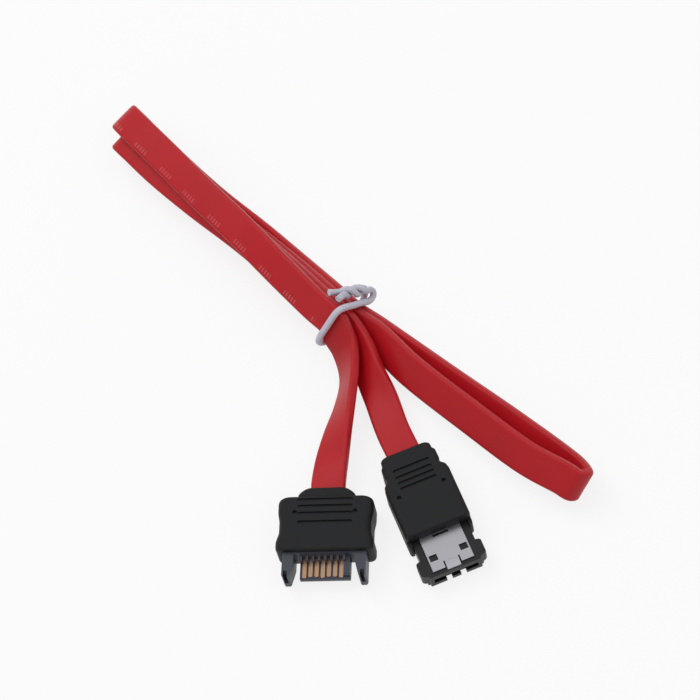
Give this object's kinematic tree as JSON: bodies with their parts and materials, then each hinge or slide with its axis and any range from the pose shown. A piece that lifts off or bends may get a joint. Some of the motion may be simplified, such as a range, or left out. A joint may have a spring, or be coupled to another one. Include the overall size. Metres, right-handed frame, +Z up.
{
  "type": "esata extension cable",
  "caption": "Flat red data cable folded into a tied hank, joining a keyed signal plug with guide arms to a metal topped plug with side ears.",
  "frame": {"origin": "centre of the base of the box that holds the two plugs, on the surface that the cable lies on", "axes": "+X to the right as the picture shows it, along the line from the signal plug to the metal topped plug; +Y away from the camera, so that the plugs' mating ends point towards -Y; +Z up"},
  "size_m": [0.1079, 0.1168, 0.0146],
  "materials": {
    "cable_jacket": "satin red flexible jacket",
    "tie_coating": "satin off white coating on a thin wire",
    "overmould": "matt black soft overmould",
    "insulator": "semi gloss dark slate plastic",
    "frame_plastic": "semi gloss black plastic",
    "shell": "satin plated sheet",
    "inner_mould": "milky hard plastic",
    "contact_plating": "thin gold plating",
    "signal_wire": "bare copper",
    "ground_wire": "tinned copper"
  },
  "bodies": {
    "root": {"flat_cable": "cable_jacket", "twist_tie": "tie_coating", "internal_plug_overmould": "overmould", "internal_plug_insulator": "insulator", "internal_plug_inner_mould": "inner_mould", "internal_plug_contact_1": "contact_plating", "internal_plug_contact_2": "contact_plating", "internal_plug_contact_3": "contact_plating", "internal_plug_contact_4": "contact_plating", "internal_plug_contact_5": "contact_plating", "internal_plug_contact_6": "contact_plating", "internal_plug_contact_7": "contact_plating", "internal_plug_signal_wire_1": "signal_wire", "internal_plug_signal_wire_2": "signal_wire", "internal_plug_signal_wire_3": "signal_wire", "internal_plug_signal_wire_4": "signal_wire", "internal_plug_ground_wire_1": "ground_wire", "internal_plug_ground_wire_2": "ground_wire", "internal_plug_ground_wire_3": "ground_wire", "external_plug_overmould": "overmould", "external_plug_insulator": "frame_plastic", "external_plug_shell": "shell", "external_plug_inner_mould": "inner_mould", "external_plug_contact_1": "contact_plating", "external_plug_contact_2": "contact_plating", "external_plug_contact_3": "contact_plating", "external_plug_contact_4": "contact_plating", "external_plug_contact_5": "contact_plating", "external_plug_contact_6": "contact_plating", "external_plug_contact_7": "contact_plating", "external_plug_signal_wire_1": "signal_wire", "external_plug_signal_wire_2": "signal_wire", "external_plug_signal_wire_3": "signal_wire", "external_plug_signal_wire_4": "signal_wire", "external_plug_ground_wire_1": "ground_wire", "external_plug_ground_wire_2": "ground_wire", "external_plug_ground_wire_3": "ground_wire"}
  },
  "joints": []
}
